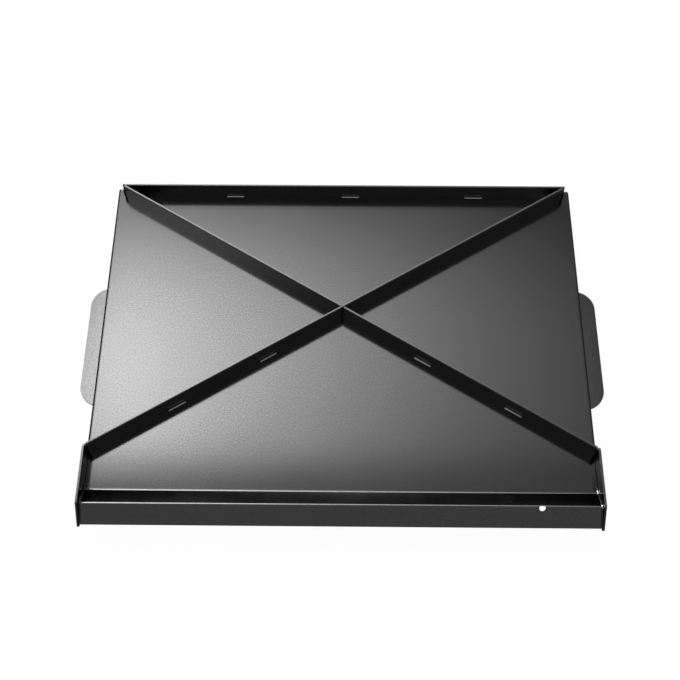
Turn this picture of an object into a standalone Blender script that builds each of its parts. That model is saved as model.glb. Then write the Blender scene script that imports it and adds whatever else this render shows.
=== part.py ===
# Griddle plate of a camp stove, lying underside up, in metres with +Z up.
# One bent steel sheet makes the deck, three splash walls, two grip tabs and the
# grease trough. Two half-lapped diagonal ribs, a rear rib and two trough ends are
# welded on. The origin is the middle of the footprint, on the surface that the wall
# rims lie on. X runs along the width and +Y points to the back wall.

import math

import bmesh
import bpy
from mathutils import Matrix, Vector

MM = 0.001

# Sheet and walls
PLATE_WIDTH = 600 * MM  # over the outer faces of the side walls
DECK_DEPTH = 427 * MM  # outer face of the back wall to the trough's first bend
SHEET = 2.5 * MM
WALL_HEIGHT = 30 * MM  # rim to the deck's outer face
BEND_RADIUS = 3 * MM  # outside of the wall bends
BEND_SEGMENTS = 4
WALL_END_LEAN = 20 * MM  # how far the rim's front end leans back from the deck's
WALL_SETBACK = 3 * MM  # front ends of the walls, behind the trough's first bend

# Grip tabs, bent out of the side walls at the rim
TAB_REACH = 24 * MM  # beyond the wall's outer face
TAB_LENGTH = 165 * MM
TAB_CORNER = 35 * MM
TAB_SHOULDER = 6 * MM  # square part of each end, next to the wall
TAB_FROM_BACK = 224 * MM  # middle of the tab, from the back wall
TAB_BEND_RADIUS = 1.5 * MM  # in the corner between tab and wall
TAB_RELIEF_WIDTH = 2 * MM
TAB_RELIEF_HEIGHT = 6 * MM
TAB_CORNER_SEGMENTS = 7

# Grease trough, a V bent from the deck's front edge
TROUGH_SLOPE_RUN = 22 * MM  # first bend to the crest, level
TROUGH_DEPTH = 16 * MM  # crest above the deck's outer face
LIP_RUN = 21 * MM  # crest to the lip, level
LIP_HEIGHT = 2 * MM  # lip above the deck's outer face
TROUGH_BEND_RADIUS = 4 * MM
DRAIN_DIAMETER = 7.5 * MM
DRAIN_FROM_CREST = 2.2 * MM  # along the lip's slope
DRAIN_FROM_SIDE = 71 * MM
DRAIN_SEGMENTS = 24

# Ribs
RIB_THICKNESS = 2.5 * MM
REAR_RIB_HEIGHT = 23.5 * MM
REAR_RIB_FROM_BACK = 13 * MM  # back wall to the rib's front face
REAR_RIB_FROM_SIDE = 10 * MM
DIAGONAL_HEIGHT = 24.5 * MM
DIAGONAL_INSET = 0.5 * MM  # from the rear rib's end to where a diagonal meets it
DIAGONAL_FRONT = 46.3 * MM  # from the trough's first bend back to the diagonals' front ends
SLOT_CLEARANCE = 0.4 * MM

# Trough ends
END_THICKNESS = 2.5 * MM
END_HEIGHT = 25 * MM
END_BEHIND_DIAGONAL = 1.5 * MM
END_REAR_CORNER = 4 * MM
END_CREST_OVERHANG = 2.7 * MM  # level top edge, past the crest
END_FRONT_ANGLE = math.radians(49)
END_TIP_RADIUS = 3 * MM

# Welds
BEAD_RADIUS = 1.6 * MM
BEAD_LENGTH = 24 * MM
REAR_BEADS = {"left": -143 * MM, "middle": 9 * MM, "right": 172 * MM}  # along X
LEFT_DIAGONAL_BEADS = {"inner": 241.5 * MM, "outer": 115.5 * MM}  # from the rib's front end
RIGHT_DIAGONAL_BEADS = {"inner": 231.5 * MM, "outer": 105.5 * MM}
TACK_RADIUS = 1.2 * MM
TACK_LENGTH = 16 * MM
SEAM_RADIUS = 1.2 * MM
SEAM_START = 7 * MM  # behind the trough's first bend
SEAM_LIP_MARGIN = 2 * MM
FOOT_BEAD_RADIUS = 0.7 * MM
FOOT_BEAD_MARGIN = 3 * MM

TOUCH_GAP = 0.3 * MM  # between pieces that touch
TOLERANCE = 0.01 * MM  # for telling which points lie at a place

# Places worked out from the sizes above
half_width = PLATE_WIDTH / 2
tip_slope_run = (END_HEIGHT + SHEET) / math.tan(END_FRONT_ANGLE)
tip_round_back = END_TIP_RADIUS * (1 / math.tan(END_FRONT_ANGLE / 2) - 1)
overall_depth = DECK_DEPTH + TROUGH_SLOPE_RUN + END_CREST_OVERHANG + tip_slope_run - tip_round_back
back_y = overall_depth / 2
bend_y = back_y - DECK_DEPTH
crest_y = bend_y - TROUGH_SLOPE_RUN
lip_y = crest_y - LIP_RUN
deck_z = WALL_HEIGHT
wall_front_y = bend_y + WALL_SETBACK
tab_y = back_y - TAB_FROM_BACK

trough_half = half_width - BEND_RADIUS
end_inner_x = trough_half + TOUCH_GAP

rear_face_y = back_y - REAR_RIB_FROM_BACK
rear_rib_half = half_width - REAR_RIB_FROM_SIDE
diagonal_back_x = rear_rib_half - DIAGONAL_INSET
diagonal_front_y = bend_y + DIAGONAL_FRONT
diagonal_slope = (rear_face_y - diagonal_front_y) / (diagonal_back_x + end_inner_x)
diagonal_angle = math.atan(diagonal_slope)
crossing_y = rear_face_y - diagonal_back_x * diagonal_slope


def clear_scene():
    for old in list(bpy.data.objects):
        bpy.data.objects.remove(old, do_unlink=True)


def make_material(name, colour, roughness, metallic):
    material = bpy.data.materials.new(name)
    material.use_nodes = True
    shader = material.node_tree.nodes["Principled BSDF"]
    shader.inputs["Base Color"].default_value = (*colour, 1)
    shader.inputs["Roughness"].default_value = roughness
    shader.inputs["Metallic"].default_value = metallic
    return material


def add_object(name, data, material):
    obj = bpy.data.objects.new(name, data)
    obj.data.materials.append(material)
    bpy.context.scene.collection.objects.link(obj)
    return obj


def mesh_from(bm, name):
    mesh = bpy.data.meshes.new(name)
    bm.to_mesh(mesh)
    bm.free()
    return mesh


def shade_round(obj, angle=math.radians(35)):
    obj.data.shade_smooth()
    obj.data.set_sharp_from_angle(angle=angle)


def rounded(corners, segments=BEND_SEGMENTS):
    """Points of a line through the (u, v, radius) corners, each corner with a radius turned into an arc."""
    points = []
    for i, (u, v, radius) in enumerate(corners):
        corner = Vector((u, v))
        if not radius:
            points.append(corner)
            continue
        before = (Vector(corners[i - 1][:2]) - corner).normalized()
        after = (Vector(corners[(i + 1) % len(corners)][:2]) - corner).normalized()
        half_angle = before.angle(after) / 2
        centre = corner + (before + after).normalized() * radius / math.sin(half_angle)
        start = corner + before * radius / math.tan(half_angle) - centre
        end = corner + after * radius / math.tan(half_angle) - centre
        turn = start.angle_signed(end)
        for k in range(segments + 1):
            points.append(centre + Matrix.Rotation(-turn * k / segments, 2) @ start)
    return points


def plate_mesh(name, outline, thickness):
    """A flat plate in local XZ with this outline, centred on local Y."""
    bm = bmesh.new()
    rim = [bm.verts.new((u, -thickness / 2, v)) for u, v in outline]
    face = bm.faces.new(rim)
    pushed = bmesh.ops.extrude_face_region(bm, geom=[face])["geom"]
    moved = [item for item in pushed if isinstance(item, bmesh.types.BMVert)]
    bmesh.ops.translate(bm, verts=moved, vec=(0, thickness, 0))
    bmesh.ops.recalc_face_normals(bm, faces=bm.faces)
    return mesh_from(bm, name)


def trough_line():
    """The trough's outer surface as points in YZ, from the deck's front edge to the lip."""
    return rounded(
        [
            (wall_front_y, deck_z, 0),
            (bend_y, deck_z, TROUGH_BEND_RADIUS),
            (crest_y, deck_z + TROUGH_DEPTH, TROUGH_BEND_RADIUS),
            (lip_y, deck_z + LIP_HEIGHT, 0),
        ]
    )


def tab_stations():
    """(y, reach) along one tab: full reach in the middle, an arc down to the shoulder at each end."""
    sweep = math.acos(1 - (TAB_REACH - TAB_SHOULDER) / TAB_CORNER)
    half_straight = TAB_LENGTH / 2 - TAB_CORNER * math.sin(sweep)
    end = []
    for k in range(TAB_CORNER_SEGMENTS + 1):
        angle = sweep * k / TAB_CORNER_SEGMENTS
        along = half_straight + TAB_CORNER * math.sin(angle)
        end.append((along, TAB_REACH - TAB_CORNER * (1 - math.cos(angle))))
    front = [(tab_y - along, reach) for along, reach in reversed(end)]
    back = [(tab_y + along, reach) for along, reach in end]
    return front + back


def edges_where(bm, test):
    return [e for e in bm.edges if all(test(v.co) for v in e.verts)]


def near(a, b):
    return abs(a - b) < TOLERANCE


def add_tab(bm, side, stations):
    """Bends a tab out of the rim of one side wall, between two relief slots."""
    x = side * half_width
    front, back = stations[0][0], stations[-1][0]
    for cut in [front - TAB_RELIEF_WIDTH, *(y for y, _ in stations), back + TAB_RELIEF_WIDTH]:
        wall = [f for f in bm.faces if all(near(v.co.x, x) for v in f.verts)]
        geometry = wall + list({e for f in wall for e in f.edges} | {v for f in wall for v in f.verts})
        bmesh.ops.bisect_plane(bm, geom=geometry, plane_co=(0, cut, 0), plane_no=(0, 1, 0))
    for low, high in ((front - TAB_RELIEF_WIDTH, front), (back, back + TAB_RELIEF_WIDTH)):
        strip = [f for f in bm.faces if all(near(v.co.x, x) for v in f.verts)
                 and low < f.calc_center_median().y < high]
        geometry = strip + list({e for f in strip for e in f.edges} | {v for f in strip for v in f.verts})
        bmesh.ops.bisect_plane(bm, geom=geometry, plane_co=(0, 0, TAB_RELIEF_HEIGHT), plane_no=(0, 0, 1))
        slot = [f for f in bm.faces if all(near(v.co.x, x) for v in f.verts)
                and low < f.calc_center_median().y < high and f.calc_center_median().z < TAB_RELIEF_HEIGHT]
        bmesh.ops.delete(bm, geom=slot, context="FACES")
    rim = edges_where(bm, lambda co: near(co.x, x) and near(co.z, 0)
                      and front - TOLERANCE < co.y < back + TOLERANCE)
    # The sheet's thickness goes downwards here, so that the tab's lower face is level with the rims.
    for vert in {v for e in rim for v in e.verts}:
        vert.co.z = SHEET
    pushed = bmesh.ops.extrude_edge_only(bm, edges=rim)["geom"]
    for vert in (item for item in pushed if isinstance(item, bmesh.types.BMVert)):
        reach = min(stations, key=lambda station: abs(station[0] - vert.co.y))[1]
        vert.co.x += side * reach


def round_edges(bm, edges, radius):
    bmesh.ops.bevel(
        bm,
        geom=edges,
        offset=radius,
        offset_type="OFFSET",
        affect="EDGES",
        segments=BEND_SEGMENTS,
        profile=0.5,
        clamp_overlap=True,
        material=-1,
    )


def griddle_plate(material):
    """The bent sheet: its outer surface, given its thickness on the inside."""
    bm = bmesh.new()
    bmesh.ops.create_cube(bm, size=1)
    depth = back_y - wall_front_y
    size = Matrix.Diagonal((PLATE_WIDTH, depth, WALL_HEIGHT, 1))
    middle = Matrix.Translation((0, (back_y + wall_front_y) / 2, WALL_HEIGHT / 2))
    bmesh.ops.transform(bm, matrix=middle @ size, verts=bm.verts)
    open_sides = [f for f in bm.faces if f.normal.z < -0.5 or f.normal.y < -0.5]
    bmesh.ops.delete(bm, geom=open_sides, context="FACES")
    for vert in bm.verts:
        if near(vert.co.z, 0) and near(vert.co.y, wall_front_y):
            vert.co.y += WALL_END_LEAN
    stations = tab_stations()
    for side in (-1, 1):
        add_tab(bm, side, stations)
    tab_edges = [e for e in bm.edges if len(e.link_faces) == 2
                 and all(near(v.co.z, SHEET) and near(abs(v.co.x), half_width) for v in e.verts)]
    round_edges(bm, tab_edges, TAB_BEND_RADIUS)
    wall_edges = [e for e in bm.edges if len(e.link_faces) == 2
                  and e.link_faces[0].normal.angle(e.link_faces[1].normal) > math.radians(80)
                  and max(v.co.z for v in e.verts) > deck_z - TOLERANCE]
    round_edges(bm, wall_edges, BEND_RADIUS)
    line = trough_line()
    edge = edges_where(bm, lambda co: near(co.y, wall_front_y) and near(co.z, deck_z))
    for y, z in line[1:]:
        pushed = bmesh.ops.extrude_edge_only(bm, edges=edge)["geom"]
        edge = [item for item in pushed if isinstance(item, bmesh.types.BMEdge)]
        for vert in {v for e in edge for v in e.verts}:
            vert.co.y, vert.co.z = y, z
    bmesh.ops.remove_doubles(bm, verts=bm.verts, dist=TOLERANCE)
    bmesh.ops.recalc_face_normals(bm, faces=bm.faces)
    deck = max(bm.faces, key=lambda f: f.calc_area())
    if deck.normal.z < 0:
        bmesh.ops.reverse_faces(bm, faces=bm.faces)
    plate = add_object("griddle_plate", mesh_from(bm, "griddle_plate"), material)
    thicken = plate.modifiers.new("sheet", "SOLIDIFY")
    thicken.solidify_mode = "NON_MANIFOLD"
    thicken.nonmanifold_thickness_mode = "CONSTRAINTS"
    thicken.thickness = SHEET
    thicken.offset = -1
    punch = drain_punch(material)
    hole = plate.modifiers.new("drain", "BOOLEAN")
    hole.operation = "DIFFERENCE"
    hole.solver = "EXACT"
    hole.object = punch
    shade_round(plate)
    return plate


def drain_punch(material):
    """Cutter for the drain hole, square to the trough's front slope."""
    slope = math.atan2(TROUGH_DEPTH - LIP_HEIGHT, LIP_RUN)
    bm = bmesh.new()
    bmesh.ops.create_cone(
        bm,
        cap_ends=True,
        segments=DRAIN_SEGMENTS,
        radius1=DRAIN_DIAMETER / 2,
        radius2=DRAIN_DIAMETER / 2,
        depth=4 * SHEET,
    )
    punch = add_object("drain_punch", mesh_from(bm, "drain_punch"), material)
    punch.rotation_euler.x = slope
    punch.location = (
        half_width - DRAIN_FROM_SIDE,
        crest_y - DRAIN_FROM_CREST * math.cos(slope),
        deck_z + TROUGH_DEPTH - DRAIN_FROM_CREST * math.sin(slope),
    )
    punch.hide_render = True
    punch.display_type = "WIRE"
    return punch


def rear_rib(material):
    foot = deck_z + TOUCH_GAP
    top = deck_z + REAR_RIB_HEIGHT
    outline = [(-rear_rib_half, foot), (rear_rib_half, foot), (rear_rib_half, top), (-rear_rib_half, top)]
    rib = add_object("rear_rib", plate_mesh("rear_rib", outline, RIB_THICKNESS), material)
    rib.location.y = rear_face_y + RIB_THICKNESS / 2
    return rib


def diagonal_reach():
    """Distances along a diagonal's middle line from the crossing to its front end and to its back end."""
    half = RIB_THICKNESS / 2
    front_x = end_inner_x - TOUCH_GAP - half * math.sin(diagonal_angle)
    back_rise = rear_face_y - TOUCH_GAP - half * math.cos(diagonal_angle) - crossing_y
    return front_x / math.cos(diagonal_angle), back_rise / math.sin(diagonal_angle)


def diagonal_rib(name, side, slot_on_top, material):
    """A rib from one front corner to the opposite back corner, half-lapped at the crossing."""
    front, back = diagonal_reach()
    foot = deck_z + TOUCH_GAP
    top = deck_z + DIAGONAL_HEIGHT
    middle = (foot + top) / 2
    crossing = 2 * diagonal_angle
    slot = RIB_THICKNESS * (1 / math.sin(crossing) + 1 / math.tan(crossing)) / 2 + SLOT_CLEARANCE
    if slot_on_top:
        depth = middle - TOUCH_GAP / 2
        outline = [(-front, foot), (back, foot), (back, top), (slot, top),
                   (slot, depth), (-slot, depth), (-slot, top), (-front, top)]
    else:
        depth = middle + TOUCH_GAP / 2
        outline = [(-front, foot), (-slot, foot), (-slot, depth), (slot, depth),
                   (slot, foot), (back, foot), (back, top), (-front, top)]
    rib = add_object(name, plate_mesh(name, outline, RIB_THICKNESS), material)
    rib.location.y = crossing_y
    # Local +X of a rib points from the crossing to its back end.
    rib.rotation_euler.z = diagonal_angle if side < 0 else math.pi - diagonal_angle
    return rib


def trough_end(name, side, material):
    """The plate that closes one end of the trough and stands on the deck's edge behind it."""
    rear = diagonal_front_y + END_BEHIND_DIAGONAL
    top = deck_z + END_HEIGHT
    foot = deck_z + TOUCH_GAP
    bottom = deck_z - SHEET
    step = wall_front_y - TOUCH_GAP
    top_front = crest_y - END_CREST_OVERHANG
    outline = rounded(
        [
            (rear, foot, 0),
            (rear, top, END_REAR_CORNER),
            (top_front, top, END_TIP_RADIUS / 2),
            (top_front - tip_slope_run, bottom, END_TIP_RADIUS),
            (step, bottom, 0),
            (step, foot, 0),
        ]
    )
    plate = add_object(name, plate_mesh(name, outline, END_THICKNESS), material)
    plate.rotation_euler.z = math.pi / 2
    plate.location.x = side * (end_inner_x + END_THICKNESS / 2)
    return plate


def bead_mesh(name, radius, length):
    """A weld bead along local X with round ends."""
    bm = bmesh.new()
    bmesh.ops.create_uvsphere(bm, u_segments=10, v_segments=7, radius=radius)
    bmesh.ops.rotate(bm, verts=bm.verts, cent=(0, 0, 0), matrix=Matrix.Rotation(math.pi / 2, 3, "Y"))
    stretch = length / 2 - radius
    for vert in bm.verts:
        vert.co.x += math.copysign(stretch, vert.co.x)
    return mesh_from(bm, name)


def bead(name, radius, length, place, turn, material):
    obj = add_object(name, bead_mesh(name, radius, length), material)
    obj.location = place
    obj.rotation_euler = turn
    shade_round(obj, math.radians(60))
    return obj


def rib_beads(material):
    """Short fillet beads at the feet of the ribs' front faces."""
    off = BEAD_RADIUS + TOUCH_GAP
    z = deck_z + off
    for word, x in REAR_BEADS.items():
        place = (x, rear_face_y - off, z)
        bead(f"rear_rib_weld_{word}", BEAD_RADIUS, BEAD_LENGTH, place, (0, 0, 0), material)
    from_middle = RIB_THICKNESS / 2 + off
    front_reach, _ = diagonal_reach()
    for side, beads, word in ((-1, LEFT_DIAGONAL_BEADS, "left"), (1, RIGHT_DIAGONAL_BEADS, "right")):
        for which, from_end in beads.items():
            along = front_reach - from_end
            x = side * (along * math.cos(diagonal_angle) - from_middle * math.sin(diagonal_angle))
            y = crossing_y - along * math.sin(diagonal_angle) - from_middle * math.cos(diagonal_angle)
            name = f"{word}_diagonal_weld_{which}"
            bead(name, BEAD_RADIUS, BEAD_LENGTH, (x, y, z), (0, 0, -side * diagonal_angle), material)


def end_tacks(material):
    """Upright tacks where the diagonals end at the rear rib and at the trough ends."""
    front, back = diagonal_reach()
    cosine, sine = math.cos(diagonal_angle), math.sin(diagonal_angle)
    off = TACK_RADIUS + TOUCH_GAP
    z = deck_z + TOUCH_GAP + TACK_LENGTH / 2
    upright = (0, math.pi / 2, 0)
    half = RIB_THICKNESS / 2
    # In the notch between a diagonal's back end and the rear rib.
    tack_y = rear_face_y - off
    corner_x = back * cosine - half * sine
    corner_y = crossing_y + back * sine + half * cosine
    back_x = corner_x + (off + (corner_y - tack_y) * sine) / cosine
    # In the corner between a diagonal's front face and a trough end.
    front_x = end_inner_x - off
    along_front = (front_x + (half + off) * sine) / cosine
    front_y = crossing_y - along_front * sine - (half + off) * cosine
    for side, word in ((-1, "left"), (1, "right")):
        bead(f"{word}_back_tack", TACK_RADIUS, TACK_LENGTH, (side * back_x, tack_y, z), upright, material)
        bead(f"{word}_front_tack", TACK_RADIUS, TACK_LENGTH, (side * front_x, front_y, z), upright, material)


def seam_bead(name, side, material):
    """Fillet bead that seals a trough end, along the trough's outer surface."""
    off = SEAM_RADIUS + TOUCH_GAP
    line = trough_line()
    start = Vector((bend_y + SEAM_START, deck_z))
    lip = line[-1]
    lip_way = (lip - line[-2]).normalized()
    route = [start, *line[1:-1], lip - lip_way * SEAM_LIP_MARGIN]
    points = []
    for i, point in enumerate(route):
        way = (route[min(i + 1, len(route) - 1)] - route[max(i - 1, 0)]).normalized()
        points.append(point + Vector((way.y, -way.x)) * off)
    curve = bpy.data.curves.new(name, "CURVE")
    curve.dimensions = "3D"
    curve.bevel_depth = SEAM_RADIUS
    curve.bevel_resolution = 1
    curve.use_fill_caps = True
    spline = curve.splines.new("POLY")
    spline.points.add(len(points) - 1)
    x = side * (end_inner_x - off)
    for target, (y, z) in zip(spline.points, points):
        target.co = (x, y, z, 1)
    return add_object(name, curve, material)


def foot_bead(name, side, material):
    """Bead along a trough end's outer foot, in the groove above the wall bend."""
    reach = BEND_RADIUS + TOUCH_GAP + FOOT_BEAD_RADIUS
    rise = BEND_RADIUS - FOOT_BEAD_RADIUS
    out = math.sqrt(reach**2 - rise**2)
    front = wall_front_y + FOOT_BEAD_MARGIN
    back = diagonal_front_y + END_BEHIND_DIAGONAL - FOOT_BEAD_MARGIN
    place = (side * (trough_half + out), (front + back) / 2, deck_z - BEND_RADIUS + rise)
    return bead(name, FOOT_BEAD_RADIUS, back - front, place, (0, 0, math.pi / 2), material)


def main():
    clear_scene()
    sheet_steel = make_material("black_sheet_steel", (0.045, 0.045, 0.048), 0.35, 0.85)
    rib_steel = make_material("black_rib_steel", (0.03, 0.03, 0.032), 0.45, 0.8)
    weld_steel = make_material("weld_steel", (0.2, 0.2, 0.2), 0.4, 0.9)
    griddle_plate(sheet_steel)
    rear_rib(rib_steel)
    diagonal_rib("diagonal_rib_left", -1, False, rib_steel)
    diagonal_rib("diagonal_rib_right", 1, True, rib_steel)
    for side, word in ((-1, "left"), (1, "right")):
        trough_end(f"trough_end_{word}", side, sheet_steel)
        seam_bead(f"trough_end_{word}_seam", side, weld_steel)
        foot_bead(f"trough_end_{word}_foot_weld", side, weld_steel)
    rib_beads(weld_steel)
    end_tacks(weld_steel)


main()
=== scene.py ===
# Looks of a camp stove's griddle plate, lying underside up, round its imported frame.
# Everything is in metres, with +Z up and the back wall at +Y.

import math

import bmesh
import bpy
from mathutils import Euler, Matrix, Vector


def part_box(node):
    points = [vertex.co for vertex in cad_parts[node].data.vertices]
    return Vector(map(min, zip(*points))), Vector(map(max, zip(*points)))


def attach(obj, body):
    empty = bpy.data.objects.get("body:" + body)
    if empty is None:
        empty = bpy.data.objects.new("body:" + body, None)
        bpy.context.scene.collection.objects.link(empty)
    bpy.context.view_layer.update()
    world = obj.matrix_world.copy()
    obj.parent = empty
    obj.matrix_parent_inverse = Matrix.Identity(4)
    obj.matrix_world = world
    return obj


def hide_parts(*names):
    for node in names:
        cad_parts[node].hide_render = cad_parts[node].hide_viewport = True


mm = 0.001
touchGap = 0.3 * mm  # what the frame leaves between pieces that touch
mergeDistance = 0.001 * mm
smoothAngle = 35  # degrees, up to which a bend is shaded smooth
noiseSpan = {"From Min": 0.3, "From Max": 0.7}  # where the values of a noise mostly lie

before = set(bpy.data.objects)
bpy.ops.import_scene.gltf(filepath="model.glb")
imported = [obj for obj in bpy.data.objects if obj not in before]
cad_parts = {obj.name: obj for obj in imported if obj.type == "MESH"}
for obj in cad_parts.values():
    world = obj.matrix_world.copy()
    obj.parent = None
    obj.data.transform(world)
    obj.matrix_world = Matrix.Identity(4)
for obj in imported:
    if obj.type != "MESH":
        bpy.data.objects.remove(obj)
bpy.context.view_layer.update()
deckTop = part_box("rear_rib")[0].z - touchGap
print("frame loaded, nodes:", len(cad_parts))


def toLinear(hexColour):
    # sRGB hex such as "3a3b3d" to linear RGBA
    channels = [int(hexColour[i:i + 2], 16) / 255 for i in (0, 2, 4)]
    return [c / 12.92 if c <= 0.04045 else ((c + 0.055) / 1.055) ** 2.4 for c in channels] + [1]


def addNode(tree, kind, settings=None, inputs=None):
    # one node, with its settings and its input values or links
    node = tree.nodes.new(kind)
    for name, value in (settings or {}).items():
        setattr(node, name, value)
    for name, value in (inputs or {}).items():
        if isinstance(value, bpy.types.NodeSocket):
            tree.links.new(value, node.inputs[name])
        else:
            node.inputs[name].default_value = value
    return node


def newMaterial(name):
    material = bpy.data.materials.new(name)
    material.use_nodes = True
    return material, material.node_tree, material.node_tree.nodes["Principled BSDF"]


# Camera at the photograph's angle
cameraValues = {
    "place": (6.0 * mm, -646.6 * mm, 1253.4 * mm),
    "turnDegrees": 0.757,  # to the left of straight ahead
    "downDegrees": 61.867,
    "rollDegrees": -0.258,
    "lens": 59.28,
    "sensor": 36,
    "nearLimit": 10 * mm,
}


def makeCamera():
    data = bpy.data.cameras.new("photoCamera")
    data.lens = cameraValues["lens"]
    data.sensor_width = cameraValues["sensor"]
    data.clip_start = cameraValues["nearLimit"]
    camera = bpy.data.objects.new("photoCamera", data)
    turn = Matrix.Rotation(math.radians(cameraValues["turnDegrees"]), 4, "Z")
    tilt = Matrix.Rotation(math.radians(90 - cameraValues["downDegrees"]), 4, "X")
    roll = Matrix.Rotation(math.radians(cameraValues["rollDegrees"]), 4, "Z")
    camera.matrix_world = Matrix.Translation(cameraValues["place"]) @ turn @ tilt @ roll
    bpy.context.scene.collection.objects.link(camera)
    bpy.context.scene.camera = camera


# Studio: pale floor, room light that dims low down, lit cards overhead, behind and at the left
floorValues = {
    "size": 30,
    "drop": 0.2 * mm,  # the rims stand clear of the floor by this much
    "colour": "f6f6f5",
    "ownLight": 0.97,  # share of its brightness that no shadow falls on, as on a lit table
    "mirroredColour": "484848",  # what the edges mirror of it, as from dark cards beside them
}
roomValues = {
    "strength": 0.62,
    "horizonShare": 0.25,  # of the strength, left low down, as with dark cards round the table
    "fadeLow": 0.1,  # heights between which it grows, from 0 at the horizon to 1 overhead
    "fadeHigh": 0.7,
}
lightCards = {
    "overheadCard": {
        "centre": (0, 1.5235, 2.5), "size": (2.5, 1.473), "turn": (0, 0, 0),
        "strength": 16.6, "least": 0.053, "power": (2.7, 1.6),  # at its low and its high edge
        "lowFade": 0.06, "highFade": 0.72, "sideFade": 0.17},
    "backCard": {
        "centre": (0, 2.6, 1.75), "size": (3.6, 2.9), "turn": (90, 0, 0),
        "strength": 25, "least": 0.1, "power": (2.2, 2.2),
        "lowFade": 0.04, "highFade": 0.15, "sideFade": 0.05},
    "leftCard": {
        "centre": (-2.2, 0.8, 3.1), "size": (3.6, 1.4), "turn": (90, 0, -90),
        "strength": 13, "least": 0.35, "power": (1.5, 1.5),
        "lowFade": 0.1, "highFade": 0.2, "sideFade": 0.04},
}


def meshObject(name, bm, materials):
    mesh = bpy.data.meshes.new(name)
    bm.to_mesh(mesh)
    bm.free()
    for material in materials:
        mesh.materials.append(material)
    obj = bpy.data.objects.new(name, mesh)
    bpy.context.scene.collection.objects.link(obj)
    return obj


def makeFloor():
    # Matt painted card: even and almost shadowless to the camera, dim where the steel mirrors it
    bm = bmesh.new()
    bmesh.ops.create_grid(bm, x_segments=1, y_segments=1, size=floorValues["size"] / 2)
    bmesh.ops.translate(bm, verts=bm.verts, vec=(0, 0, -floorValues["drop"]))
    material, tree, shader = newMaterial("mattePaleCard")
    ray = addNode(tree, "ShaderNodeLightPath")
    colour = addNode(tree, "ShaderNodeMix", {"data_type": "RGBA"}, {
        0: ray.outputs["Is Glossy Ray"], 6: toLinear(floorValues["colour"]),
        7: toLinear(floorValues["mirroredColour"])})
    tree.links.new(colour.outputs[2], shader.inputs["Base Color"])
    shader.inputs["Roughness"].default_value = 0.9
    shader.inputs["Specular IOR Level"].default_value = 0
    glow = addNode(tree, "ShaderNodeEmission")
    share = addNode(tree, "ShaderNodeMath", {"operation": "MULTIPLY"}, {
        0: ray.outputs["Is Camera Ray"], 1: floorValues["ownLight"]})
    lit = addNode(tree, "ShaderNodeMixShader", {}, {
        0: share.outputs[0], 1: shader.outputs[0], 2: glow.outputs[0]})
    tree.links.new(lit.outputs[0], tree.nodes["Material Output"].inputs["Surface"])
    meshObject("floor", bm, [material])


def makeRoomLight():
    # white light, which the camera sees as a plain white room
    world = bpy.data.worlds.new("room")
    world.use_nodes = True
    tree, full = world.node_tree, roomValues["strength"]
    background = tree.nodes["Background"]
    background.inputs["Color"].default_value = (1, 1, 1, 1)
    ray = addNode(tree, "ShaderNodeLightPath")
    way = addNode(tree, "ShaderNodeTexCoord").outputs["Generated"]
    axes = addNode(tree, "ShaderNodeSeparateXYZ", {}, {"Vector": way})
    room = addNode(tree, "ShaderNodeMapRange", {"interpolation_type": "SMOOTHSTEP"}, {
        "Value": axes.outputs["Z"],
        "From Min": roomValues["fadeLow"], "From Max": roomValues["fadeHigh"],
        "To Min": full * roomValues["horizonShare"], "To Max": full})
    seen = addNode(tree, "ShaderNodeMapRange", {}, {
        "Value": ray.outputs["Is Camera Ray"], "To Min": room.outputs["Result"], "To Max": 1})
    tree.links.new(seen.outputs[0], background.inputs["Strength"])
    bpy.context.scene.world = world


def makeLightCard(name, card):
    # A lit cloth, brightest at its left end, that fades out towards its edges
    bm = bmesh.new()
    bm.loops.layers.uv.new("cloth")
    bmesh.ops.create_grid(bm, x_segments=1, y_segments=1, size=0.5, calc_uvs=True)
    bmesh.ops.scale(bm, verts=bm.verts, vec=(*card["size"], 1))
    turn = Euler([math.radians(a) for a in card["turn"]]).to_matrix()
    bmesh.ops.rotate(bm, verts=bm.verts, matrix=turn)
    bmesh.ops.translate(bm, verts=bm.verts, vec=card["centre"])
    material = bpy.data.materials.new(name)
    material.use_nodes = True
    tree = material.node_tree
    tree.nodes.clear()
    place = addNode(tree, "ShaderNodeTexCoord")
    axes = addNode(tree, "ShaderNodeSeparateXYZ", {}, {"Vector": place.outputs["UV"]})
    u, v = axes.outputs["X"], axes.outputs["Y"]
    left = addNode(tree, "ShaderNodeMath", {"operation": "SUBTRACT"}, {0: 1.0, 1: u})
    power = addNode(tree, "ShaderNodeMapRange", {}, {
        "Value": v, "To Min": card["power"][0], "To Max": card["power"][1]})
    curve = addNode(tree, "ShaderNodeMath", {"operation": "POWER"}, {
        0: left.outputs[0], 1: power.outputs[0]})
    shape = addNode(tree, "ShaderNodeMapRange", {}, {
        "Value": curve.outputs[0],
        "To Min": card["strength"] * card["least"], "To Max": card["strength"]})
    edges = ((u, 0, card["sideFade"]), (u, 1, 1 - card["sideFade"]),
             (v, 0, card["lowFade"]), (v, 1, 1 - card["highFade"]))
    for across, start, end in edges:
        fade = addNode(tree, "ShaderNodeMapRange", {"interpolation_type": "SMOOTHSTEP"}, {
            "Value": across, "From Min": start, "From Max": end})
        shape = addNode(tree, "ShaderNodeMath", {"operation": "MULTIPLY"}, {
            0: shape.outputs[0], 1: fade.outputs[0]})
    glow = addNode(tree, "ShaderNodeEmission", {}, {"Strength": shape.outputs[0]})
    addNode(tree, "ShaderNodeOutputMaterial", {}, {"Surface": glow.outputs[0]})
    obj = meshObject(name, bm, [material])
    obj.visible_camera = False


makeCamera()
makeFloor()
makeRoomLight()
for cardName, cardValues in lightCards.items():
    makeLightCard(cardName, cardValues)
bpy.context.scene.view_settings.view_transform = "Standard"
print("camera, floor and lights made")


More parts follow.
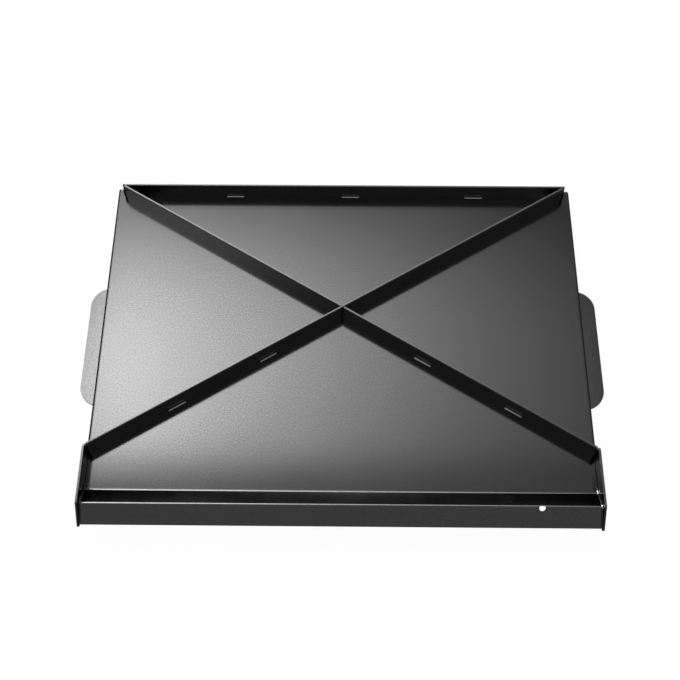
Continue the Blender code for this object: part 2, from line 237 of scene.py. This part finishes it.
# Materials
sheetFinish = {
    "colour": "3e3e3e",
    "grainColour": "505050",
    "roughness": 0.14,
    "glossSpread": 0.01,  # how far the roughness strays either way
    "edgeTint": 0.75,  # the film stays dark where it is seen at a grazing angle
    "grain": 1.5 * mm,  # the real grain is about 0.2 mm, drawn coarser so that it shows
    "grainHeight": 0.0003 * mm,  # hardly any, or grain this coarse would look dented
    "cloud": 70 * mm,  # width of the patches in which the gloss strays
}


def blackenedSheetSteel(name, finish):
    # Cold-rolled sheet, blasted and blackened: near black, with a satin mirror and a fine speckle
    material, tree, shader = newMaterial(name)
    place = addNode(tree, "ShaderNodeTexCoord").outputs["Object"]
    grain = addNode(tree, "ShaderNodeTexNoise", {}, {
        "Vector": place, "Scale": 1 / finish["grain"], "Detail": 2, "Roughness": 0.6})
    cloud = addNode(tree, "ShaderNodeTexNoise", {}, {
        "Vector": place, "Scale": 1 / finish["cloud"], "Detail": 3, "Roughness": 0.5})
    tone = addNode(tree, "ShaderNodeMapRange", {}, {"Value": grain.outputs["Fac"], **noiseSpan})
    mixed = addNode(tree, "ShaderNodeMix", {"data_type": "RGBA"}, {
        0: tone.outputs["Result"],
        6: toLinear(finish["colour"]), 7: toLinear(finish["grainColour"])})
    roughness, spread, tint = finish["roughness"], finish["glossSpread"], finish["edgeTint"]
    gloss = addNode(tree, "ShaderNodeMapRange", {}, {
        "Value": cloud.outputs["Fac"], **noiseSpan,
        "To Min": roughness - spread, "To Max": roughness + spread})
    bump = addNode(tree, "ShaderNodeBump", {}, {
        "Height": grain.outputs["Fac"], "Distance": finish["grainHeight"], "Strength": 1})
    shader.inputs["Metallic"].default_value = 1
    shader.inputs["Specular Tint"].default_value = (tint, tint, tint, 1)
    tree.links.new(mixed.outputs[2], shader.inputs["Base Color"])
    tree.links.new(gloss.outputs["Result"], shader.inputs["Roughness"])
    tree.links.new(bump.outputs["Normal"], shader.inputs["Normal"])
    return material


edgeFinish = {
    "colour": "464646",
    "brightColour": "585858",
    "roughness": 0.24,
    "edgeTint": 0.3,
    "stria": 0.9 * mm,  # the real ones are about 0.3 mm apart, drawn coarser so that they show
    "striaStretch": 0.15,  # scale of the pattern upwards, which draws the striations out
    "striaHeight": 0.008 * mm,
}


def cutSteelEdge(name):
    # Edge as cut, under the same blackening: a little brighter, with fine upright striations
    material, tree, shader = newMaterial(name)
    place = addNode(tree, "ShaderNodeTexCoord").outputs["Object"]
    stretch = addNode(tree, "ShaderNodeMapping", {}, {
        "Vector": place, "Scale": (1, 1, edgeFinish["striaStretch"])})
    stria = addNode(tree, "ShaderNodeTexNoise", {}, {
        "Vector": stretch.outputs[0], "Scale": 1 / edgeFinish["stria"], "Detail": 2,
        "Roughness": 0.6})
    mixed = addNode(tree, "ShaderNodeMix", {"data_type": "RGBA"}, {
        0: stria.outputs["Fac"],
        6: toLinear(edgeFinish["colour"]), 7: toLinear(edgeFinish["brightColour"])})
    bump = addNode(tree, "ShaderNodeBump", {}, {
        "Height": stria.outputs["Fac"], "Distance": edgeFinish["striaHeight"], "Strength": 1})
    tint = edgeFinish["edgeTint"]
    shader.inputs["Metallic"].default_value = 0.95
    shader.inputs["Specular Tint"].default_value = (tint, tint, tint, 1)
    shader.inputs["Roughness"].default_value = edgeFinish["roughness"]
    tree.links.new(mixed.outputs[2], shader.inputs["Base Color"])
    tree.links.new(bump.outputs["Normal"], shader.inputs["Normal"])
    return material


weldFinish = {
    "colour": "6c6c6c",
    "crownColour": "bcbcbc",
    "roughness": 0.3,
    "glossSpread": 0.12,  # how much rougher the dark specks are
    "edgeTint": 0.4,
    "specks": 1.2 * mm,  # the real ones are about half that, drawn coarser so that they show
}
sootedFinish = {**weldFinish, "colour": "363636", "crownColour": "505050", "edgeTint": 0.15}


def weldMetal(name, finish):
    # Mild steel weld metal under a thin black film: brighter than the sheet, with dull slag specks
    material, tree, shader = newMaterial(name)
    place = addNode(tree, "ShaderNodeTexCoord").outputs["Object"]
    specks = addNode(tree, "ShaderNodeTexNoise", {}, {
        "Vector": place, "Scale": 1 / finish["specks"], "Detail": 2, "Roughness": 0.6})
    mixed = addNode(tree, "ShaderNodeMix", {"data_type": "RGBA"}, {
        0: specks.outputs["Fac"],
        6: toLinear(finish["colour"]), 7: toLinear(finish["crownColour"])})
    roughness, tint = finish["roughness"], finish["edgeTint"]
    gloss = addNode(tree, "ShaderNodeMapRange", {}, {
        "Value": specks.outputs["Fac"], **noiseSpan,
        "To Min": roughness + finish["glossSpread"], "To Max": roughness})
    shader.inputs["Metallic"].default_value = 1
    shader.inputs["Specular Tint"].default_value = (tint, tint, tint, 1)
    tree.links.new(mixed.outputs[2], shader.inputs["Base Color"])
    tree.links.new(gloss.outputs["Result"], shader.inputs["Roughness"])
    return material


sheetSteel = blackenedSheetSteel("blackenedSheetSteel", sheetFinish)
ribSteel = blackenedSheetSteel("blackenedStripSteel", {  # paler, with a duller mirror
    **sheetFinish, "colour": "686868", "grainColour": "747474", "roughness": 0.22})
cutEdge = cutSteelEdge("cutSteelEdge")
brightWeld = weldMetal("weldMetal", weldFinish)
sootedWeld = weldMetal("sootedWeldMetal", sootedFinish)  # nearly as dark as the sheet
print("materials made")


def finishPiece(name, bm, materials, node):
    obj = meshObject(name, bm, materials)
    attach(obj, "root")
    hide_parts(node)
    return obj


def bakeModifiers(obj):
    # puts the evaluated shape into the mesh, so that nothing stays live
    graph = bpy.context.evaluated_depsgraph_get()
    mesh = bpy.data.meshes.new_from_object(
        obj.evaluated_get(graph), preserve_all_data_layers=True, depsgraph=graph)
    obj.modifiers.clear()
    obj.data = mesh


# The bent sheet: deck, three walls, two tabs and the grease trough
plateValues = {
    "sheet": 2.5 * mm,
    "deckDepth": 427 * mm,  # back wall to the trough's first bend
    "wallBend": 3 * mm,
    "wallRound": 3.6 * mm,  # the same bend as drawn, as wide as its dark side looks
    "wallEdgeAngle": 80,  # degrees, over which an edge of the deck is one of these bends
    "wallEndLean": 20 * mm,  # how much further back a side wall starts at its rim
    "wallSetback": 3 * mm,  # the side walls start this far behind the trough's first bend
    "troughRun": 22 * mm,  # from that bend forward to the crest
    "troughRise": 16 * mm,
    "lipRise": 2 * mm,  # height of the front lip over the deck
    "troughBend": 4 * mm,
    "crestBend": 2.75 * mm,
    "bendSteps": 8,
    "tabLength": 165 * mm,
    "tabCorner": 26 * mm,
    "tabShoulder": 6 * mm,  # how far a tab reaches out at its ends
    "tabFromBack": 224 * mm,  # back wall to the tab's middle
    "tabBend": 1.5 * mm,
    "tabSteps": 12,
    "reliefWidth": 2 * mm,
    "reliefHeight": 6 * mm,
    "drainDiameter": 7.5 * mm,
    "drainSides": 48,
    "drainFromCrest": 2.2 * mm,
    "drainFromSide": 71 * mm,
    "edgeSoftness": 0.7 * mm,
    "softSteps": 3,
    "softAngle": 55,  # degrees, over which an edge is softened
    "tolerance": 0.01 * mm,
}


def arcPoints(before, corner, after, radius, steps):
    # points of the arc that rounds a corner between two straight runs
    wayIn = (before - corner).normalized()
    wayOut = (after - corner).normalized()
    half = wayIn.angle(wayOut) / 2
    centre = corner + (wayIn + wayOut).normalized() * radius / math.sin(half)
    start = corner + wayIn * radius / math.tan(half) - centre
    end = corner + wayOut * radius / math.tan(half) - centre
    turn = start.angle_signed(end)
    return [centre + Matrix.Rotation(-turn * k / steps, 2) @ start for k in range(steps + 1)]


def troughCorners(back):
    # the trough's first bend, crest and lip as (y, z), for a back wall at this y
    bend = Vector((back - plateValues["deckDepth"], deckTop))
    crest = Vector((bend.x - plateValues["troughRun"], deckTop + plateValues["troughRise"]))
    lip = Vector((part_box("griddle_plate")[0].y, deckTop + plateValues["lipRise"]))
    return bend, crest, lip


def troughLine(start, bend, crest, lip):
    # the trough's outer surface, from the deck's front edge to the lip, as (y, z)
    steps = plateValues["bendSteps"]
    firstBend = arcPoints(start, bend, crest, plateValues["troughBend"], steps)
    crestBend = arcPoints(bend, crest, lip, plateValues["crestBend"], steps)
    return [start, *firstBend, *crestBend, lip]


def tabStations(middle, reach):
    # (y, reach) along a tab: full reach in the middle, an arc down to the shoulder at each end
    corner, steps = plateValues["tabCorner"], plateValues["tabSteps"]
    sweep = math.acos(1 - (reach - plateValues["tabShoulder"]) / corner)
    straight = plateValues["tabLength"] / 2 - corner * math.sin(sweep)
    angles = [sweep * k / steps for k in range(steps + 1)]
    end = [(straight + corner * math.sin(a), reach - corner * (1 - math.cos(a))) for a in angles]
    frontHalf = [(middle - along, out) for along, out in reversed(end)]
    return frontHalf + [(middle + along, out) for along, out in end]


def isNear(a, b):
    return abs(a - b) < plateValues["tolerance"]


def wallFaces(bm, x, low=-math.inf, high=math.inf):
    # faces of the side wall at x, all of them or those between two places along y
    return [f for f in bm.faces if all(isNear(v.co.x, x) for v in f.verts)
            and low < f.calc_center_median().y < high]


def cutAcross(bm, faces, place, way):
    edges = {e for f in faces for e in f.edges}
    verts = {v for f in faces for v in f.verts}
    bmesh.ops.bisect_plane(bm, geom=faces + list(edges | verts), plane_co=place, plane_no=way)


def bendTab(bm, side, halfWidth, stations):
    # turns part of a wall's rim outwards into a tab, between two relief slots
    x = side * halfWidth
    slot, slotTop = plateValues["reliefWidth"], plateValues["reliefHeight"]
    front, back = stations[0][0], stations[-1][0]
    for y in [front - slot, *(station[0] for station in stations), back + slot]:
        cutAcross(bm, wallFaces(bm, x), (0, y, 0), (0, 1, 0))
    for low, high in ((front - slot, front), (back, back + slot)):
        cutAcross(bm, wallFaces(bm, x, low, high), (0, 0, slotTop), (0, 0, 1))
        notch = [f for f in wallFaces(bm, x, low, high) if f.calc_center_median().z < slotTop]
        bmesh.ops.delete(bm, geom=notch, context="FACES")
    slack = plateValues["tolerance"]
    rim = [e for e in bm.edges if all(isNear(v.co.x, x) and isNear(v.co.z, 0)
                                      and front - slack < v.co.y < back + slack for v in e.verts)]
    for vert in {v for e in rim for v in e.verts}:
        vert.co.z = plateValues["sheet"]
    pushed = bmesh.ops.extrude_edge_only(bm, edges=rim)["geom"]
    for vert in (item for item in pushed if isinstance(item, bmesh.types.BMVert)):
        out = min(stations, key=lambda station: abs(station[0] - vert.co.y))[1]
        vert.co.x += side * out


def roundEdges(bm, edges, radius, segments):
    bmesh.ops.bevel(bm, geom=edges, offset=radius, offset_type="OFFSET", affect="EDGES",
                    segments=segments, profile=0.5, material=-1, clamp_overlap=True)


def makeGriddlePlate():
    slack, steps = plateValues["tolerance"], plateValues["bendSteps"]
    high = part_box("griddle_plate")[1]
    troughHalf = -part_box("trough_end_left")[1].x - touchGap
    halfWidth = troughHalf + plateValues["wallBend"]
    back = high.y - 2 * slack  # just inside the solid's box
    bend, crest, lip = troughCorners(back)
    wallFront = bend.x + plateValues["wallSetback"]
    bm = bmesh.new()
    bmesh.ops.create_cube(bm, size=1)
    bmesh.ops.scale(bm, verts=bm.verts, vec=(2 * halfWidth, back - wallFront, deckTop))
    bmesh.ops.translate(bm, verts=bm.verts, vec=(0, (back + wallFront) / 2, deckTop / 2))
    openSides = [f for f in bm.faces if min(f.normal.z, f.normal.y) < -0.5]  # below and in front
    bmesh.ops.delete(bm, geom=openSides, context="FACES")
    for vert in bm.verts:
        if isNear(vert.co.z, 0) and isNear(vert.co.y, wallFront):
            vert.co.y += plateValues["wallEndLean"]
    stations = tabStations(back - plateValues["tabFromBack"], high.x - halfWidth)
    for side in (-1, 1):
        bendTab(bm, side, halfWidth, stations)
    tabEdges = [e for e in bm.edges if len(e.link_faces) == 2
                and all(isNear(v.co.z, plateValues["sheet"]) and isNear(abs(v.co.x), halfWidth)
                        for v in e.verts)]
    roundEdges(bm, tabEdges, plateValues["tabBend"], steps)
    wallAngle = math.radians(plateValues["wallEdgeAngle"])
    wallEdges = [e for e in bm.edges if len(e.link_faces) == 2 and e.calc_face_angle() > wallAngle
                 and max(v.co.z for v in e.verts) > deckTop - slack]
    roundEdges(bm, wallEdges, plateValues["wallRound"], steps)
    edge = [e for e in bm.edges
            if all(isNear(v.co.y, wallFront) and isNear(v.co.z, deckTop) for v in e.verts)]
    for y, z in troughLine(Vector((wallFront, deckTop)), bend, crest, lip)[1:]:
        pushed = bmesh.ops.extrude_edge_only(bm, edges=edge)["geom"]
        edge = [item for item in pushed if isinstance(item, bmesh.types.BMEdge)]
        for vert in {v for e in edge for v in e.verts}:
            vert.co = (math.copysign(troughHalf, vert.co.x), y, z)
    bmesh.ops.remove_doubles(bm, verts=bm.verts, dist=mergeDistance)
    bmesh.ops.recalc_face_normals(bm, faces=bm.faces)
    if max(bm.faces, key=lambda f: f.calc_area()).normal.z < 0:
        bmesh.ops.reverse_faces(bm, faces=bm.faces)
    plate = finishPiece("griddlePlate", bm, [sheetSteel, cutEdge], "griddle_plate")
    thicken = plate.modifiers.new("sheet", "SOLIDIFY")
    thicken.solidify_mode = "NON_MANIFOLD"
    thicken.nonmanifold_thickness_mode = "CONSTRAINTS"
    thicken.thickness = plateValues["sheet"]
    thicken.offset = -1
    thicken.material_offset_rim = 1
    punch = drainPunch(halfWidth, crest, lip)
    hole = plate.modifiers.new("drain", "BOOLEAN")
    hole.operation = "DIFFERENCE"
    hole.object = punch
    soften = plate.modifiers.new("soften", "BEVEL")
    soften.width = plateValues["edgeSoftness"]
    soften.segments = plateValues["softSteps"]
    soften.limit_method = "ANGLE"
    soften.angle_limit = math.radians(plateValues["softAngle"])
    bakeModifiers(plate)
    bpy.data.objects.remove(punch)
    shadeBends(plate)
    print("griddle plate made")


def drainPunch(halfWidth, crest, lip):
    # cutter for the drain hole, square to the trough's front slope
    slope = lip - crest
    place = crest + slope.normalized() * plateValues["drainFromCrest"]
    tilt = math.atan2(-slope.y, -slope.x)
    across = halfWidth - plateValues["drainFromSide"]
    bm = bmesh.new()
    radius = plateValues["drainDiameter"] / 2
    bmesh.ops.create_cone(bm, cap_ends=True, segments=plateValues["drainSides"], radius1=radius,
                          radius2=radius, depth=4 * plateValues["sheet"])  # well through the sheet
    bmesh.ops.rotate(bm, verts=bm.verts, matrix=Matrix.Rotation(tilt, 3, "X"))
    bmesh.ops.translate(bm, verts=bm.verts, vec=(across, place.x, place.y))
    return meshObject("drainPunch", bm, [])


def shadeBends(obj):
    # smooth over the bends, with flat faces kept flat by weighting normals by area
    obj.data.shade_smooth()
    obj.data.set_sharp_from_angle(angle=math.radians(smoothAngle))
    weighted = obj.modifiers.new("weighted", "WEIGHTED_NORMAL")
    weighted.weight = 100  # the large faces alone decide
    weighted.keep_sharp = True
    bakeModifiers(obj)


makeGriddlePlate()


# Ribs, cut from strip, and trough ends, cut from sheet
flatValues = {
    "softness": 0.2 * mm,
    "softSteps": 2,
    "rollOver": 1.1 * mm,  # side of a sheared edge that the blade rolls over, turned to the front
    "rollSteps": 5,
    "sharpAngle": 50,  # degrees, over which an edge is rounded
    "flatAngle": 1,  # degrees, under which triangles are one face
    "broadLimit": 0.9,  # a face turned further from the broad side than this cosine shows the cut
    "topLimit": 0.9,  # a face whose normal points up by more than this is a top
    "frontLimit": 0.7,  # and one that points forward by more than this is a front
}


def mergedCopy(node):
    # a frame node's solid with its triangles joined into whole faces
    bm = bmesh.new()
    bm.from_mesh(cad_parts[node].data)
    bmesh.ops.remove_doubles(bm, verts=bm.verts, dist=mergeDistance)
    bmesh.ops.dissolve_limit(bm, angle_limit=math.radians(flatValues["flatAngle"]),
                             verts=bm.verts, edges=bm.edges)
    return bm


def makeFlatPlate(name, node, material, slot):
    bm = mergedCopy(node)
    broad = max(bm.faces, key=lambda f: f.calc_area()).normal.copy()
    for face in bm.faces:
        face.material_index = int(abs(face.normal.dot(broad)) < flatValues["broadLimit"])
    sharpAngle = math.radians(flatValues["sharpAngle"])
    if slot == "rib_steel":
        foot = min(v.co.z for v in bm.verts)
        for vert in (v for v in bm.verts if v.co.z < foot + touchGap):
            vert.co.z -= touchGap  # down onto the sheet
        rolled = [e for e in bm.edges if e.calc_face_angle() > sharpAngle
                  and all(f.normal.z > flatValues["topLimit"]
                          or f.normal.y < -flatValues["frontLimit"] for f in e.link_faces)]
        roundEdges(bm, rolled, flatValues["rollOver"], flatValues["rollSteps"])
    sharp = [e for e in bm.edges if e.calc_face_angle() > sharpAngle]
    roundEdges(bm, sharp, flatValues["softness"], flatValues["softSteps"])
    shadeBends(finishPiece(name, bm, [material, cutEdge], node))


makeFlatPlate("rearRib", "rear_rib", ribSteel, "rib_steel")
for word in ("left", "right"):
    makeFlatPlate(f"diagonalRib_{word}", f"diagonal_rib_{word}", ribSteel, "rib_steel")
    makeFlatPlate(f"troughEnd_{word}", f"trough_end_{word}", sheetSteel, "sheet_steel")
print("ribs and trough ends made")


# Welds: beads laid in overlapping ripples
weldValues = {
    "pitch": 2.4 * mm,  # one ripple
    "ringsPerRipple": 5,
    "leastRings": 6,
    "ripple": 0.13,  # share of the radius
    "sides": 14,
    "endLength": 2.2 * mm,  # over which a bead rises to its full size
    "endLeast": 0.02,  # square of the share of its radius that a bead starts with
    "fullness": 0.7,  # share of the solid's radius, seated in the corner
    "seamRadius": 0.9 * mm,
    "seamShort": 2 * mm,  # a seam stops this far before the lip
    "bedding": 0.35 * mm,  # how far a bead runs into what it joins
    "tackShort": 0.3 * mm,  # a front tack stops this far under the rib's top
    "tackShift": 1.5 * mm,  # and lies this far back, in the slit
    "tackOutwards": 0.5,  # and outwards by this share of that
    # over the same span, at the right seam's bends, the bead is painted bright weld metal: a
    # painted glint
    "fillLength": 2.6 * mm,  # where weld metal fills the corner at a bend
    "fillGrowth": 0.9,
}


def alongPath(path, distance):
    # point and direction at a distance along a line of points
    for start, end in zip(path, path[1:]):
        run = (end - start).length
        if distance <= run or end == path[-1]:
            return start.lerp(end, min(distance / run, 1)), (end - start).normalized()
        distance -= run


def beadSize(distance, length, glintedFills):
    # share of the full radius: rounded ends, one swell for each ripple, and a lump at each fill
    rise = min(distance, length - distance) / weldValues["endLength"]
    end = math.sqrt(max(1 - (1 - min(rise, 1)) ** 2, weldValues["endLeast"]))
    swell = abs(math.sin(math.pi * distance / weldValues["pitch"]))
    lump = sum(math.exp(-((distance - place) / weldValues["fillLength"]) ** 2) for place in glintedFills)
    ripple = weldValues["ripple"]
    return end * (1 - ripple + ripple * swell + weldValues["fillGrowth"] * lump)


def ringFrame(path, distance, length, radius, glintedFills):
    point, way = alongPath(path, distance)
    size = Matrix.Scale(radius * beadSize(distance, length, glintedFills), 4)
    return Matrix.Translation(point) @ way.to_track_quat("Z", "X").to_matrix().to_4x4() @ size


def makeWeld(node, path, radius, finish, glintedFills=()):
    length = sum((b - a).length for a, b in zip(path, path[1:]))
    step = weldValues["pitch"] / weldValues["ringsPerRipple"]
    rings = max(round(length / step), weldValues["leastRings"])
    bm = bmesh.new()
    circle = bmesh.ops.create_circle(bm, cap_ends=True, segments=weldValues["sides"], radius=1)
    ring = circle["verts"]
    edges = list({e for v in ring for e in v.link_edges})
    placed = ringFrame(path, 0, length, radius, glintedFills)
    bmesh.ops.transform(bm, matrix=placed, verts=ring)
    for k in range(1, rings + 1):
        distance = length * k / rings
        # faces near a fill take the second material, bright weld metal, as a painted glint
        paintedGlint = any(abs(distance - place) < weldValues["fillLength"] for place in glintedFills)
        pushed = bmesh.ops.extrude_edge_only(bm, edges=edges)["geom"]
        ring = [item for item in pushed if isinstance(item, bmesh.types.BMVert)]
        edges = [item for item in pushed if isinstance(item, bmesh.types.BMEdge)]
        for face in (item for item in pushed if isinstance(item, bmesh.types.BMFace)):
            face.material_index = int(paintedGlint)
        there = ringFrame(path, distance, length, radius, glintedFills)
        bmesh.ops.transform(bm, matrix=there @ placed.inverted(), verts=ring)
        placed = there
    bmesh.ops.contextual_create(bm, geom=edges)
    bmesh.ops.recalc_face_normals(bm, faces=bm.faces)
    # the second material is the bright weld metal of the painted glints
    materials = [finish, brightWeld] if glintedFills else [finish]
    bead = finishPiece(f"{node}_bead", bm, materials, node)
    bead.data.shade_smooth()


def longWay(node):
    # direction of a rib's longest edge
    bm = mergedCopy(node)
    edge = max(bm.edges, key=lambda e: e.calc_length())
    way = (edge.verts[1].co - edge.verts[0].co).normalized()
    bm.free()
    return way


def straightPath(node, way, length, seat=Vector((0, 0, 0))):
    low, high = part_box(node)
    middle = (low + high) / 2 + seat
    return [middle - way * length / 2, middle + way * length / 2]


def makeWelds():
    bedding, fullness = weldValues["bedding"], weldValues["fullness"]
    down = Vector((0, 0, -1))
    for word in ("left", "middle", "right"):
        node = f"rear_rib_weld_{word}"
        low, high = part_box(node)
        radius = (high.z - low.z) / 2
        seat = (Vector((0, 1, 0)) + down) * radius * (1 - fullness)
        path = straightPath(node, Vector((1, 0, 0)), high.x - low.x, seat)
        makeWeld(node, path, radius * fullness + bedding, brightWeld)
    for word in ("left", "right"):
        way = longWay(f"diagonal_rib_{word}")
        toRib = Vector((-way.y, way.x, 0)) * (1 if way.x > 0 else -1)
        for which in ("inner", "outer"):
            node = f"{word}_diagonal_weld_{which}"
            low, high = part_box(node)
            radius = (high.z - low.z) / 2
            length = (high.x - low.x - 2 * radius) / abs(way.x) + 2 * radius
            path = straightPath(node, way, length, (toRib + down) * radius * (1 - fullness))
            makeWeld(node, path, radius * fullness + bedding, brightWeld)
        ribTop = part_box(f"diagonal_rib_{word}")[1].z - weldValues["tackShort"]
        for end in ("back", "front"):
            node = f"{word}_{end}_tack"
            low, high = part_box(node)
            outwards = math.copysign(weldValues["tackOutwards"], low.x)
            seat = Vector((outwards, 1, 0)) * weldValues["tackShift"] * (end == "front")
            path = straightPath(node, Vector((0, 0, 1)), high.z - low.z, seat)
            if end == "front":
                path[1].z = ribTop  # closes the slit beside the trough end
            makeWeld(node, path, (high.x - low.x) / 2 + bedding, sootedWeld)
        node = f"trough_end_{word}_foot_weld"
        low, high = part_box(node)
        path = straightPath(node, Vector((0, 1, 0)), high.y - low.y)
        makeWeld(node, path, (high.z - low.z) / 2 + bedding, sootedWeld)
        path, glintedFills = seamPath(word)
        makeWeld(f"trough_end_{word}_seam", path, weldValues["seamRadius"], sootedWeld, glintedFills)


def seamPath(word):
    # middle line of a trough end's seam along the trough, and the places of its fills, where the
    # right seam's weld metal is painted bright as glints
    low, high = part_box(f"trough_end_{word}_seam")
    radius = weldValues["seamRadius"] - weldValues["bedding"]
    inner = high.x - radius if word == "right" else low.x + radius
    bend, crest, lip = troughCorners(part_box("griddle_plate")[1].y)
    line = troughLine(Vector((high.y, deckTop)), bend, crest, lip)
    lipWay = (line[-1] - line[-2]).normalized()
    line[-1] = line[-1] - lipWay * weldValues["seamShort"]
    path, places, distance = [], [], 0
    for i, point in enumerate(line):
        way = (line[min(i + 1, len(line) - 1)] - line[max(i - 1, 0)]).normalized()
        out = point + Vector((way.y, -way.x)) * (radius + touchGap)
        path.append(Vector((inner, out.x, out.y)))
        distance += (path[-1] - path[-2]).length if i else 0
        places.append(distance)
    firstBend = 1 + plateValues["bendSteps"] // 2  # middle of each bend, counted along the line
    secondBend = firstBend + plateValues["bendSteps"] + 1
    # only the right seam's bends get these lumps with painted glints
    glintedFills = (places[firstBend], places[secondBend]) if word == "right" else ()
    return path, glintedFills


makeWelds()
print("welds made")
